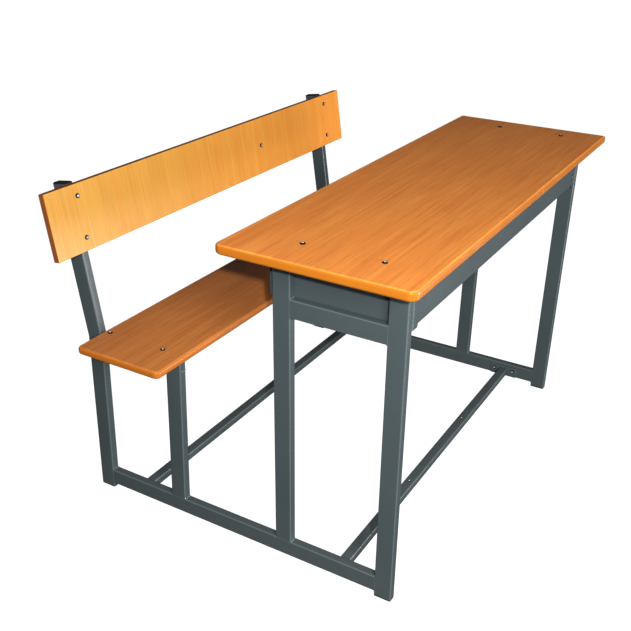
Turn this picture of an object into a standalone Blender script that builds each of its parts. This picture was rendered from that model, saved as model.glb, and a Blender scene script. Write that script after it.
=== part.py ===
"""A two-seat school desk: a desktop with a book box, joined to a bench by two welded end frames.

Metres, +Z up. X runs along the desk, -Y is its front, away from the pupils, and left is -X.
Places along Y are measured from the desktop's front edge. One empty carries every piece,
and it puts the middle of the whole desk over the origin.
"""

import math

import bmesh
import bpy
from mathutils import Vector

# Gap between pieces that touch, clearance round a bolt, and overrun of every cut
SEAT_GAP = 0.0003
BOLT_CLEARANCE = 0.0004
CUT_OVERRUN = 0.004

# The seat and the backboard are equally long, and the desktop stops short of them at its right end
BOARD_LENGTH = 1.208
DESK_SHORTFALL = 0.018

# Desktop board
DESK_DEPTH = 0.4125
DESK_THICKNESS = 0.020
DESK_HEIGHT = 0.760
DESK_CORNER_RADIUS = 0.018
DESK_EDGE_RADIUS = 0.006

# Bench seat, which reaches forward of its legs by the overhang
SEAT_DEPTH = 0.2275
SEAT_OVERHANG = 0.0045
SEAT_THICKNESS = 0.018
SEAT_HEIGHT = 0.438
SEAT_CORNER_RADIUS = 0.013
SEAT_EDGE_RADIUS = 0.004

# Backboard, whose lower edge lies this far up the post from its bend
BACK_WIDTH = 0.1475
BACK_THICKNESS = 0.015
BACK_CORNER_RADIUS = 0.002
BACK_EDGE_RADIUS = 0.0012
BACK_RISE = 0.2075

# Tube of the end frames, and the square tube under each board
TUBE_WIDTH = 0.020
TUBE_DEPTH = 0.040
TUBE_WALL = 0.0012
TUBE_CORNER = 0.0028
SUPPORT_SIZE = 0.020

# End frames: overhang of the seat, front face of each leg at the floor, leans, and height of each rail
FRAME_INSET = 0.079
FRONT_LEG_Y = 0.0458
MID_LEG_Y = 0.2938
SEAT_LEG_Y = 0.5888
REAR_POST_Y = 0.8123
LEG_LEAN = math.radians(1.9)
BACK_LEAN = math.radians(8.2)
POST_BEND_RADIUS = 0.060
BACK_POST_LENGTH = 0.355
BOTTOM_RAIL_Z = 0.0135
CROSS_RAIL_DROP = 0.135

# Plastic feet and post caps
PLUG_FLANGE = 0.004
PLUG_SPIGOT = 0.018
PLUG_CHAMFER = 0.0015
PLUG_FIT = 0.0003
CAP_FLANGE = 0.003

# Stretchers between the bottom rails, and the plates that bolt them on
STRETCHER_DEPTH = 0.025
STRETCHER_HEIGHT = 0.020
STRETCHER_Z = 0.0195
FRONT_STRETCHER_Y = 0.161
REAR_STRETCHER_Y = 0.707
PLATE_LENGTH = 0.084
PLATE_HEIGHT = 0.030
PLATE_DROP = 0.005
PLATE_THICKNESS = 0.003
PLATE_CORNER = 0.004
PLATE_BOLT_SPACING = 0.057
PLATE_BOLT_RISE = 0.019

# Book box: a folded tray between two folded ends, whose front flanges lap the tray's front
SHEET = 0.0012
SHEET_BEND = 0.0025
BOX_FRONT_Y = 0.0458
BOX_DEPTH = 0.3055
BOX_HEIGHT = 0.1013
TRAY_TOP_FLANGE = 0.018
TRAY_REAR_LIP = 0.014
END_FRONT_FLANGE = 0.0225
END_LEDGE = 0.018
END_DROP = 0.003
END_CORNER_CUT = 0.0035

# Bolts, each with its nut screwed on
BOLT_RADIUS = 0.003
HEAD_RADIUS = 0.0055
HEAD_HEIGHT = 0.0026
HEAD_CROWN = 0.0042
HEAD_SHOULDER = 0.0021
SOCKET_RADIUS = 0.0021
SOCKET_DEPTH = 0.0016
NUT_RADIUS = 0.0056
NUT_HEIGHT = 0.005
THREAD_END = 0.002
DESK_BOLT_YS = (0.1018, 0.2708)
SEAT_BOLT_YS = (0.6278, 0.7788)
BACK_BOLT_RISES = (0.0295, 0.1215)
MIDDLE_BOLT_X = 0.167
MIDDLE_BOLT_RISE = 0.075

# Numbers of steps in round stretches
CORNER_STEPS = 2
BOARD_CORNER_STEPS = 5
EDGE_STEPS = 3
BEND_STEPS = 4
BOLT_SIDES = 12
HOLE_SIDES = 16

# Worked out from the sizes above
HALF_DEPTH = TUBE_DEPTH / 2
DESK_LENGTH = BOARD_LENGTH - DESK_SHORTFALL
FRAME_INNER_X = BOARD_LENGTH / 2 - FRAME_INSET - TUBE_WIDTH
FRAME_X = FRAME_INNER_X + TUBE_WIDTH / 2
DESK_UNDERSIDE = DESK_HEIGHT - DESK_THICKNESS
SEAT_UNDERSIDE = SEAT_HEIGHT - SEAT_THICKNESS
PLATE_Z = STRETCHER_Z - PLATE_DROP
RAIL_TOP = BOTTOM_RAIL_Z + TUBE_DEPTH
CROSS_RAIL_Z = DESK_UNDERSIDE - CROSS_RAIL_DROP
BOX_REAR_Y = BOX_FRONT_Y + BOX_DEPTH
BOX_BOTTOM_Z = DESK_UNDERSIDE - BOX_HEIGHT
LEAN_HALF_DEPTH = HALF_DEPTH / math.cos(LEG_LEAN)
BEND_Y = REAR_POST_Y + LEAN_HALF_DEPTH - SEAT_UNDERSIDE * math.tan(LEG_LEAN)
POST_END = BACK_POST_LENGTH + CAP_FLANGE
BOLT_END_RISE = BACK_RISE + BACK_BOLT_RISES[-1] + BOLT_RADIUS
BOLT_END_DEPTH = HALF_DEPTH + SEAT_GAP + NUT_HEIGHT + THREAD_END
OVERALL_DEPTH = BEND_Y + BOLT_END_RISE * math.sin(BACK_LEAN) + BOLT_END_DEPTH * math.cos(BACK_LEAN)

ACROSS = Vector((1, 0, 0))
BACKWARD = Vector((0, 1, 0))
UP = Vector((0, 0, 1))
LEG_UP = Vector((0, -math.sin(LEG_LEAN), math.cos(LEG_LEAN)))
BACK_UP = Vector((0, math.sin(BACK_LEAN), math.cos(BACK_LEAN)))
BACK_NORMAL = Vector((0, -math.cos(BACK_LEAN), math.sin(BACK_LEAN)))
SIDES = {"left": -1, "right": 1}
FRONT_FACE = -1
REAR_FACE = 1


def clear_objects():
    """Remove whatever the file holds before the desk is made."""
    for item in list(bpy.data.objects):
        bpy.data.objects.remove(item, do_unlink=True)


def material(name, colour, roughness, metallic=0.0):
    """A plain finish, made once and shared by name."""
    if name in bpy.data.materials:
        return bpy.data.materials[name]
    finish = bpy.data.materials.new(name)
    finish.use_nodes = True
    shader = finish.node_tree.nodes["Principled BSDF"]
    shader.inputs["Base Color"].default_value = (*colour, 1)
    shader.inputs["Roughness"].default_value = roughness
    shader.inputs["Metallic"].default_value = metallic
    finish.diffuse_color = (*colour, 1)
    return finish


def frame_paint():
    return material("frame_paint", (0.085, 0.105, 0.110), 0.42)


def desk_wood():
    return material("desk_wood", (0.720, 0.300, 0.090), 0.35)


def seat_wood():
    return material("seat_wood", (0.420, 0.170, 0.055), 0.38)


def back_wood():
    return material("back_wood", (0.820, 0.430, 0.130), 0.40)


def black_plastic():
    return material("black_plastic", (0.020, 0.020, 0.022), 0.45)


def bolt_steel():
    return material("bolt_steel", (0.620, 0.620, 0.600), 0.30, 1.0)


def loft(name, rings, ring_closed=False):
    """A solid skin over rings of equally many points. A closed run of rings joins its last to its first."""
    mesh = bpy.data.meshes.new(name)
    bm = bmesh.new()
    rows = [[bm.verts.new(point) for point in ring] for ring in rings]
    pairs = list(zip(rows, rows[1:]))
    if ring_closed:
        pairs.append((rows[-1], rows[0]))
    for low, high in pairs:
        for i in range(len(low)):
            j = (i + 1) % len(low)
            bm.faces.new((low[i], low[j], high[j], high[i]))
    if not ring_closed:
        bm.faces.new(list(reversed(rows[0])))
        bm.faces.new(rows[-1])
    bmesh.ops.recalc_face_normals(bm, faces=bm.faces)
    bm.to_mesh(mesh)
    bm.free()
    mesh.shade_smooth()
    mesh.set_sharp_from_angle(angle=math.radians(35))
    return mesh


def place(name, mesh, finish, parent, location=(0, 0, 0)):
    """An object that shows a mesh, standing in the desk's frame."""
    item = bpy.data.objects.new(name, mesh)
    bpy.context.scene.collection.objects.link(item)
    item.parent = parent
    item.location = location
    if finish.name not in mesh.materials:
        mesh.materials.append(finish)
    return item


def combine(item, helper_mesh, parent, operation):
    """Add a hidden helper's shape to an object, or take it out of the object."""
    helper = bpy.data.objects.new(helper_mesh.name, helper_mesh)
    bpy.context.scene.collection.objects.link(helper)
    helper.parent = parent
    helper.hide_render = True
    helper.display_type = "WIRE"
    step = item.modifiers.new(helper_mesh.name, "BOOLEAN")
    step.operation = operation
    step.object = helper


def rounded_rectangle(width, depth, radius, steps):
    """Points (u, v) round a rectangle centred on zero, with arcs at its corners."""
    points = []
    for quarter in range(4):
        sign_u = 1 if quarter in (0, 3) else -1
        sign_v = 1 if quarter in (0, 1) else -1
        centre_u = sign_u * (width / 2 - radius)
        centre_v = sign_v * (depth / 2 - radius)
        for step in range(steps + 1):
            angle = math.radians(90) * (quarter + step / steps)
            points.append((centre_u + radius * math.cos(angle), centre_v + radius * math.sin(angle)))
    return points


def polygon(radius, sides):
    """Points (u, v) round a circle."""
    turn = math.tau / sides
    return [(radius * math.cos(i * turn), radius * math.sin(i * turn)) for i in range(sides)]


def hexagon(radius, sides):
    """Points (u, v) round a hexagon, as many as on the circles that it is joined to."""
    points = []
    for u, v in polygon(radius, sides):
        angle = math.atan2(v, u) % math.radians(60) - math.radians(30)
        reach = math.cos(math.radians(30)) / math.cos(angle)
        points.append((u * reach, v * reach))
    return points


def ring_on_plane(outline, centre, across, along, cut_normal):
    """An outline carried along its tube until each point meets the cutting plane through its centre."""
    depthwise = along.cross(across)
    points = []
    for u, v in outline:
        start = centre + across * u + depthwise * v
        travel = (centre - start).dot(cut_normal) / along.dot(cut_normal)
        points.append(start + along * travel)
    return points


def tube(name, width, depth, stations, across=ACROSS):
    """A hollow tube through stations of (centre, direction, normal of the cut or joint there)."""
    outer = rounded_rectangle(width, depth, TUBE_CORNER, CORNER_STEPS)
    bore_corner = TUBE_CORNER - TUBE_WALL
    bore = rounded_rectangle(width - 2 * TUBE_WALL, depth - 2 * TUBE_WALL, bore_corner, CORNER_STEPS)
    skin = [ring_on_plane(outer, centre, across, along, normal) for centre, along, normal in stations]
    lining = [ring_on_plane(bore, centre, across, along, normal) for centre, along, normal in stations]
    return loft(name, skin + lining[::-1], ring_closed=True)


def straight_tube(name, start, end, width, depth, cuts, across=ACROSS):
    """A tube between two points, cut there square to the two normals."""
    along = (end - start).normalized()
    return tube(name, width, depth, [(start, along, cuts[0]), (end, along, cuts[1])], across)


def post_stations(start, bend, end, radius, end_cuts):
    """Stations of a tube that is bent once, with an arc of this radius at its centre line."""
    into = (bend - start).normalized()
    out = (end - bend).normalized()
    turn = into.angle(out)
    setback = radius * math.tan(turn / 2)
    bend_start = bend - into * setback
    inward = (out - into * out.dot(into)).normalized()
    hub = bend_start + inward * radius
    stations = [(start, into, end_cuts[0])]
    for step in range(BEND_STEPS + 1):
        angle = turn * step / BEND_STEPS
        centre = hub - inward * (radius * math.cos(angle)) + into * (radius * math.sin(angle))
        along = into * math.cos(angle) + inward * math.sin(angle)
        stations.append((centre, along, along))
    stations.append((end, out, end_cuts[1]))
    return stations


def cylinders(name, radius, starts, axis, length):
    """One mesh of several round cutters that start at these points and run along one axis."""
    mesh = bpy.data.meshes.new(name)
    bm = bmesh.new()
    side = axis.orthogonal().normalized()
    other = axis.cross(side)
    for start in starts:
        rows = []
        for base in (start, start + axis * length):
            rows.append([bm.verts.new(base + side * u + other * v) for u, v in polygon(radius, HOLE_SIDES)])
        for i in range(HOLE_SIDES):
            j = (i + 1) % HOLE_SIDES
            bm.faces.new((rows[0][i], rows[0][j], rows[1][j], rows[1][i]))
        bm.faces.new(rows[0][::-1])
        bm.faces.new(rows[1])
    bmesh.ops.recalc_face_normals(bm, faces=bm.faces)
    bm.to_mesh(mesh)
    bm.free()
    return mesh


def bolt_holes(item, parent, heads, axis, length):
    """Drill an object for bolts whose heads bear at these points and whose shanks run along the axis."""
    starts = [head - axis * CUT_OVERRUN for head in heads]
    radius = BOLT_RADIUS + BOLT_CLEARANCE
    drills = cylinders(item.name + "_drill", radius, starts, axis, length + 2 * CUT_OVERRUN)
    combine(item, drills, parent, "DIFFERENCE")


def board_mesh(name, size, corner_radius, edge_radius, normal=UP):
    """A board centred on its middle plane, its corners rounded in plan and its edges rounded over.

    A corner's radius shrinks with the inset of each row round the edge, and never reaches zero.
    """
    length, depth, thickness = size
    forward = normal.cross(ACROSS)
    rings = []
    for side in (-1, 1):
        for step in range(EDGE_STEPS + 1):
            share = step / EDGE_STEPS if side > 0 else 1 - step / EDGE_STEPS
            angle = math.radians(90) * share
            inset = edge_radius * (1 - math.cos(angle))
            height = side * (thickness / 2 - edge_radius * (1 - math.sin(angle)))
            corner = corner_radius * corner_radius / (corner_radius + inset)
            outline = rounded_rectangle(length - 2 * inset, depth - 2 * inset, corner, BOARD_CORNER_STEPS)
            rings.append([ACROSS * u + forward * v + normal * height for u, v in outline])
    return loft(name, rings)


def bolt_mesh(name, grip):
    """A button-head bolt with a hexagon socket. It bears on the plane z = 0 and hangs down from it."""
    nut_top = -grip - SEAT_GAP
    nut_end = nut_top - NUT_HEIGHT
    rows = [
        (hexagon, SOCKET_RADIUS, HEAD_HEIGHT + SEAT_GAP - SOCKET_DEPTH),
        (hexagon, SOCKET_RADIUS, HEAD_HEIGHT + SEAT_GAP),
        (polygon, HEAD_CROWN, HEAD_SHOULDER + SEAT_GAP),
        (polygon, HEAD_RADIUS, SEAT_GAP),
        (polygon, BOLT_RADIUS, SEAT_GAP),
        (polygon, BOLT_RADIUS, nut_top),
        (hexagon, NUT_RADIUS, nut_top),
        (hexagon, NUT_RADIUS, nut_end),
        (polygon, BOLT_RADIUS, nut_end),
        (polygon, BOLT_RADIUS, nut_end - THREAD_END),
    ]
    rings = []
    for shape, radius, height in rows:
        rings.append([Vector((u, v, height)) for u, v in shape(radius, BOLT_SIDES)])
    return loft(name, rings)


def place_bolt(name, mesh, parent, head, axis):
    """A bolt whose head bears at this point, pointing along the axis."""
    bolt = place(name, mesh, bolt_steel(), parent, head)
    bolt.rotation_mode = "QUATERNION"
    bolt.rotation_quaternion = (-axis).to_track_quat("Z", "Y")
    return bolt


def extrude_profile(name, profile, start, travel):
    """A sheet or bar whose cross-section is this outline of points, drawn along one straight travel."""
    rings = [[start + point + travel * share for point in profile] for share in (0, 1)]
    return loft(name, rings)


def left_of(direction):
    """The unit vector to the left of a direction in the plane."""
    return Vector((-direction.y, direction.x)).normalized()


def sheet_profile(corners, thickness, bend_radius):
    """The cross-section of a folded sheet whose outside follows these corners, which all turn left."""
    first, second = corners[:2]
    last_but_one, last = corners[-2:]
    outer = [first]
    inner = [first + left_of(second - first) * thickness]
    for before, corner, after in zip(corners, corners[1:], corners[2:]):
        into = (corner - before).normalized()
        left = left_of(into)
        turn = into.angle(after - corner)
        radius = bend_radius + thickness
        hub = corner - into * (radius * math.tan(turn / 2)) + left * radius
        for step in range(BEND_STEPS + 1):
            angle = turn * step / BEND_STEPS
            spoke = into * math.sin(angle) - left * math.cos(angle)
            outer.append(hub + spoke * radius)
            inner.append(hub + spoke * bend_radius)
    outer.append(last)
    inner.append(last + left_of(last - last_but_one) * thickness)
    return outer + inner[::-1]


def desk_parent():
    """The empty that carries every piece. It stands on the floor under the desktop's front edge."""
    origin = bpy.data.objects.new("desk_origin", None)
    bpy.context.scene.collection.objects.link(origin)
    origin.location = (0, -OVERALL_DEPTH / 2, 0)
    return origin


def leg_centre(front_y, z):
    """Centre line of a leaning leg at a height, from its front face at the floor."""
    return Vector((0, front_y + LEAN_HALF_DEPTH - z * math.tan(LEG_LEAN), z))


def leg_face(front_y, z, face):
    """Front or rear face of a leaning leg at a height."""
    return leg_centre(front_y, z).y + face * LEAN_HALF_DEPTH


def upright_legs():
    """Meshes of the two upright legs, which carry the desktop."""
    foot = Vector((0, FRONT_LEG_Y + HALF_DEPTH, PLUG_FLANGE + SEAT_GAP))
    stand = Vector((0, MID_LEG_Y + HALF_DEPTH, RAIL_TOP + SEAT_GAP))
    meshes = {}
    for name, start in (("front_leg", foot), ("mid_leg", stand)):
        end = Vector((0, start.y, DESK_UNDERSIDE - SEAT_GAP))
        meshes[name] = straight_tube(name, start, end, TUBE_WIDTH, TUBE_DEPTH, (UP, UP))
    return meshes


def leaning_legs():
    """Meshes of the seat's leg and of the rear leg, which bends at the seat to carry the backboard."""
    start = leg_centre(SEAT_LEG_Y, RAIL_TOP + SEAT_GAP)
    end = leg_centre(SEAT_LEG_Y, SEAT_UNDERSIDE - SEAT_GAP)
    seat_leg = straight_tube("seat_leg", start, end, TUBE_WIDTH, TUBE_DEPTH, (UP, UP))
    foot = leg_centre(REAR_POST_Y, PLUG_FLANGE + SEAT_GAP)
    bend = Vector((0, BEND_Y, SEAT_UNDERSIDE))
    top = bend + BACK_UP * BACK_POST_LENGTH
    stations = post_stations(foot, bend, top, POST_BEND_RADIUS, (UP, BACK_UP))
    rear_post = tube("rear_post", TUBE_WIDTH, TUBE_DEPTH, stations)
    return {"seat_leg": seat_leg, "rear_post": rear_post}


def rails():
    """Meshes of the rails between the legs, cut to the faces that they are welded to."""
    front_face = FRONT_LEG_Y + TUBE_DEPTH + SEAT_GAP
    mid_face = MID_LEG_Y - SEAT_GAP
    bottom_z = BOTTOM_RAIL_Z + HALF_DEPTH
    lean_cut = LEG_UP.cross(ACROSS)
    bottom = straight_tube(
        "bottom_rail",
        Vector((0, front_face, bottom_z)),
        Vector((0, leg_face(REAR_POST_Y, bottom_z, FRONT_FACE) - SEAT_GAP, bottom_z)),
        TUBE_WIDTH,
        TUBE_DEPTH,
        (BACKWARD, lean_cut),
    )
    cross_z = CROSS_RAIL_Z + HALF_DEPTH
    start, end = Vector((0, front_face, cross_z)), Vector((0, mid_face, cross_z))
    cross = straight_tube("cross_rail", start, end, TUBE_WIDTH, TUBE_DEPTH, (BACKWARD, BACKWARD))
    desk_z = DESK_UNDERSIDE - SEAT_GAP - SUPPORT_SIZE / 2
    start, end = Vector((0, front_face, desk_z)), Vector((0, mid_face, desk_z))
    desk = straight_tube("desk_rail", start, end, TUBE_WIDTH, SUPPORT_SIZE, (BACKWARD, BACKWARD))
    seat_z = SEAT_UNDERSIDE - SEAT_GAP - SUPPORT_SIZE / 2
    start = Vector((0, leg_face(SEAT_LEG_Y, seat_z, REAR_FACE) + SEAT_GAP, seat_z))
    end = Vector((0, leg_face(REAR_POST_Y, seat_z, FRONT_FACE) - SEAT_GAP, seat_z))
    seat = straight_tube("seat_rail", start, end, TUBE_WIDTH, SUPPORT_SIZE, (lean_cut, lean_cut))
    return {"bottom_rail": bottom, "cross_rail": cross, "desk_rail": desk, "seat_rail": seat}


def plug_mesh(name, centre, along, cut_normal, flange, inward):
    """A plastic plug: a flange as wide as the tube, and a spigot that goes up (1) or down (-1) its bore."""
    bore_width = TUBE_WIDTH - 2 * (TUBE_WALL + PLUG_FIT)
    bore_depth = TUBE_DEPTH - 2 * (TUBE_WALL + PLUG_FIT)
    bore_corner = TUBE_CORNER - TUBE_WALL
    chamfer = 2 * PLUG_CHAMFER
    rows = [
        (0, TUBE_WIDTH - chamfer, TUBE_DEPTH - chamfer, TUBE_CORNER),
        (PLUG_CHAMFER, TUBE_WIDTH, TUBE_DEPTH, TUBE_CORNER),
        (flange, TUBE_WIDTH, TUBE_DEPTH, TUBE_CORNER),
        (flange, bore_width, bore_depth, bore_corner),
        (flange + PLUG_SPIGOT, bore_width, bore_depth, bore_corner),
    ]
    rings = []
    for travel, width, depth, corner in rows:
        outline = rounded_rectangle(width, depth, corner, CORNER_STEPS)
        level = centre + along * (inward * travel / along.dot(cut_normal))
        rings.append(ring_on_plane(outline, level, ACROSS, along, cut_normal))
    return loft(name, rings)


def plugs():
    """Meshes of the plastic feet of the front and rear legs, and of the rear post's cap."""
    front = Vector((0, FRONT_LEG_Y + HALF_DEPTH, 0))
    rear = leg_centre(REAR_POST_Y, 0)
    cap_top = Vector((0, BEND_Y, SEAT_UNDERSIDE)) + BACK_UP * (POST_END + SEAT_GAP)
    return {
        "front_foot": plug_mesh("front_foot", front, UP, UP, PLUG_FLANGE, 1),
        "rear_foot": plug_mesh("rear_foot", rear, LEG_UP, UP, PLUG_FLANGE, 1),
        "post_cap": plug_mesh("post_cap", cap_top, BACK_UP, BACK_UP, CAP_FLANGE, -1),
    }


def backboard_point(rise, depth=0.0):
    """A point this far up the backboard's front from its lower edge, and this deep into it."""
    face = Vector((0, BEND_Y, SEAT_UNDERSIDE)) + BACK_NORMAL * (HALF_DEPTH + SEAT_GAP + BACK_THICKNESS)
    return face + BACK_UP * (BACK_RISE + rise) - BACK_NORMAL * depth


def drill_frame(sign, items, parent):
    """Bolt holes through the rails, the rear post and, on the inner wall only, the bottom rail."""
    x = ACROSS * (sign * FRAME_X)
    desk_heads = [x + Vector((0, y, DESK_HEIGHT)) for y in DESK_BOLT_YS]
    bolt_holes(items["desk_rail"], parent, desk_heads, -UP, DESK_THICKNESS + SUPPORT_SIZE)
    seat_heads = [x + Vector((0, y, SEAT_HEIGHT)) for y in SEAT_BOLT_YS]
    bolt_holes(items["seat_rail"], parent, seat_heads, -UP, SEAT_THICKNESS + SUPPORT_SIZE)
    back_heads = [x + backboard_point(rise) for rise in BACK_BOLT_RISES]
    bolt_holes(items["rear_post"], parent, back_heads, -BACK_NORMAL, BACK_THICKNESS + TUBE_DEPTH)
    wall_heads = [Vector((sign * FRAME_INNER_X, y, z)) for y, z in plate_bolt_places()]
    bolt_holes(items["bottom_rail"], parent, wall_heads, ACROSS * sign, TUBE_WALL)


def end_frame(side, sign, meshes, plug_meshes, parent):
    """One welded end frame with its feet and its cap."""
    items = {}
    for name, mesh in meshes.items():
        items[name] = place(f"{side}_{name}", mesh, frame_paint(), parent, (sign * FRAME_X, 0, 0))
    for name, mesh in plug_meshes.items():
        place(f"{side}_{name}", mesh, black_plastic(), parent, (sign * FRAME_X, 0, 0))
    drill_frame(sign, items, parent)


def stretcher_middles():
    """Middle of each stretcher along Y, by name."""
    half = STRETCHER_DEPTH / 2
    return {"front": FRONT_STRETCHER_Y + half, "rear": REAR_STRETCHER_Y + half}


def plate_bolt_places():
    """Places (y, z) of the bolts that hold the stretchers' end plates to a bottom rail."""
    places = []
    for middle in stretcher_middles().values():
        for step in (-1, 1):
            places.append((middle + step * PLATE_BOLT_SPACING / 2, PLATE_Z + PLATE_BOLT_RISE))
    return places


def end_plate(name, sign, middle, parent):
    """A flat plate with rounded corners, welded on a stretcher's end and drilled for its two bolts."""
    thickness = PLATE_THICKNESS
    outline = rounded_rectangle(PLATE_LENGTH, PLATE_HEIGHT, PLATE_CORNER, CORNER_STEPS)
    rings = [[Vector((x, u, v)) for u, v in outline] for x in (-thickness / 2, thickness / 2)]
    x = sign * (FRAME_INNER_X - SEAT_GAP - thickness / 2)
    z = PLATE_Z + PLATE_HEIGHT / 2
    plate = place(name, loft(name, rings), frame_paint(), parent, (x, middle, z))
    heads = []
    for y, bolt_z in plate_bolt_places():
        if abs(y - middle) < PLATE_LENGTH / 2:
            heads.append(Vector((sign * (FRAME_INNER_X - SEAT_GAP - thickness), y, bolt_z)))
    bolt_holes(plate, parent, heads, ACROSS * sign, thickness)


def stretchers(parent):
    """The two square-cut tubes that join the end frames near the floor, with their plates."""
    reach = FRAME_INNER_X - PLATE_THICKNESS - 2 * SEAT_GAP
    for place_name, middle in stretcher_middles().items():
        name = f"{place_name}_stretcher"
        z = STRETCHER_Z + STRETCHER_HEIGHT / 2
        ends = Vector((-reach, middle, z)), Vector((reach, middle, z))
        mesh = straight_tube(name, *ends, STRETCHER_DEPTH, STRETCHER_HEIGHT, (ACROSS, ACROSS), BACKWARD)
        place(name, mesh, frame_paint(), parent)
        for side, sign in SIDES.items():
            end_plate(f"{place_name}_plate_{side}", sign, middle, parent)


def book_tray(parent):
    """Front panel, floor and rear lip of the book box. It ends where the folds of the box's ends start."""
    front = BOX_FRONT_Y + SHEET + SEAT_GAP
    top = DESK_UNDERSIDE - SEAT_GAP
    corners = [
        Vector((front + TRAY_TOP_FLANGE, top)),
        Vector((front, top)),
        Vector((front, BOX_BOTTOM_Z)),
        Vector((BOX_REAR_Y, BOX_BOTTOM_Z)),
        Vector((BOX_REAR_Y, BOX_BOTTOM_Z + TRAY_REAR_LIP)),
    ]
    profile = [Vector((0, point.x, point.y)) for point in sheet_profile(corners, SHEET, SHEET_BEND)]
    reach = FRAME_INNER_X - SEAT_GAP - SHEET - SHEET_BEND
    mesh = extrude_profile("book_tray", profile, ACROSS * -reach, ACROSS * (2 * reach))
    place("book_tray", mesh, frame_paint(), parent)


def end_ledge(name, sign, outer_x):
    """The strip of a box end that turns in under the tray, from behind the front fold to the rear."""
    low = BOX_BOTTOM_Z - SEAT_GAP - SHEET
    front = BOX_FRONT_Y + SHEET + SHEET_BEND
    outline = []
    for x, y in ((SHEET / 2, front), (END_LEDGE, front), (END_LEDGE, BOX_REAR_Y), (SHEET / 2, BOX_REAR_Y)):
        outline.append(Vector((sign * (outer_x - x), y, 0)))
    return extrude_profile(name, outline, UP * low, UP * SHEET)


def end_corner(name, sign, edge_x, low):
    """A wedge that takes the lower inner corner off a box end's front flange."""
    reach = 2 * CUT_OVERRUN + END_CORNER_CUT
    edge_x -= CUT_OVERRUN
    low -= CUT_OVERRUN
    outline = []
    for x, z in ((edge_x, low), (edge_x + reach, low), (edge_x, low + reach)):
        outline.append(Vector((sign * x, 0, z)))
    start = BACKWARD * (BOX_FRONT_Y - CUT_OVERRUN)
    return extrude_profile(name, outline, start, BACKWARD * (CUT_OVERRUN + SHEET + SEAT_GAP))


def book_end(side, sign, parent):
    """End of the book box: a plate on the frame's inner face, with a front flange and a ledge."""
    name = f"{side}_book_end"
    outer_x = FRAME_INNER_X - SEAT_GAP
    edge_x = outer_x - END_FRONT_FLANGE
    corners = [Vector((edge_x, BOX_FRONT_Y)), Vector((outer_x, BOX_FRONT_Y)), Vector((outer_x, BOX_REAR_Y))]
    profile = [Vector((sign * point.x, point.y, 0)) for point in sheet_profile(corners, SHEET, SHEET_BEND)]
    low = BOX_BOTTOM_Z - END_DROP
    height = DESK_UNDERSIDE - SEAT_GAP - low
    plate = place(name, extrude_profile(name, profile, UP * low, UP * height), frame_paint(), parent)
    combine(plate, end_ledge(name + "_ledge", sign, outer_x), parent, "UNION")
    combine(plate, end_corner(name + "_corner", sign, edge_x, low), parent, "DIFFERENCE")


def desktop(parent):
    """The desktop, drilled for its four bolts. Its left end is level with the seat's."""
    size = (DESK_LENGTH, DESK_DEPTH, DESK_THICKNESS)
    mesh = board_mesh("desktop", size, DESK_CORNER_RADIUS, DESK_EDGE_RADIUS)
    middle = (-DESK_SHORTFALL / 2, DESK_DEPTH / 2, DESK_HEIGHT - DESK_THICKNESS / 2)
    board = place("desktop", mesh, desk_wood(), parent, middle)
    heads = [Vector((sign * FRAME_X, y, DESK_HEIGHT)) for sign in SIDES.values() for y in DESK_BOLT_YS]
    bolt_holes(board, parent, heads, -UP, DESK_THICKNESS)


def seat(parent):
    """The seat board, drilled for its four bolts. Its rear edge meets the posts."""
    size = (BOARD_LENGTH, SEAT_DEPTH, SEAT_THICKNESS)
    mesh = board_mesh("seat", size, SEAT_CORNER_RADIUS, SEAT_EDGE_RADIUS)
    front = leg_face(SEAT_LEG_Y, SEAT_UNDERSIDE, FRONT_FACE) - SEAT_OVERHANG
    middle = (0, front + SEAT_DEPTH / 2, SEAT_HEIGHT - SEAT_THICKNESS / 2)
    board = place("seat", mesh, seat_wood(), parent, middle)
    heads = [Vector((sign * FRAME_X, y, SEAT_HEIGHT)) for sign in SIDES.values() for y in SEAT_BOLT_YS]
    bolt_holes(board, parent, heads, -UP, SEAT_THICKNESS)


def backboard(parent):
    """The backboard on the front faces of the leaning posts, drilled for its five bolts."""
    size = (BOARD_LENGTH, BACK_WIDTH, BACK_THICKNESS)
    mesh = board_mesh("backboard", size, BACK_CORNER_RADIUS, BACK_EDGE_RADIUS, BACK_NORMAL)
    middle = backboard_point(BACK_WIDTH / 2, BACK_THICKNESS / 2)
    board = place("backboard", mesh, back_wood(), parent, middle)
    heads = []
    for sign in SIDES.values():
        for rise in BACK_BOLT_RISES:
            heads.append(ACROSS * (sign * FRAME_X) + backboard_point(rise))
    heads.append(ACROSS * MIDDLE_BOLT_X + backboard_point(MIDDLE_BOLT_RISE))
    bolt_holes(board, parent, heads, -BACK_NORMAL, BACK_THICKNESS)


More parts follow.
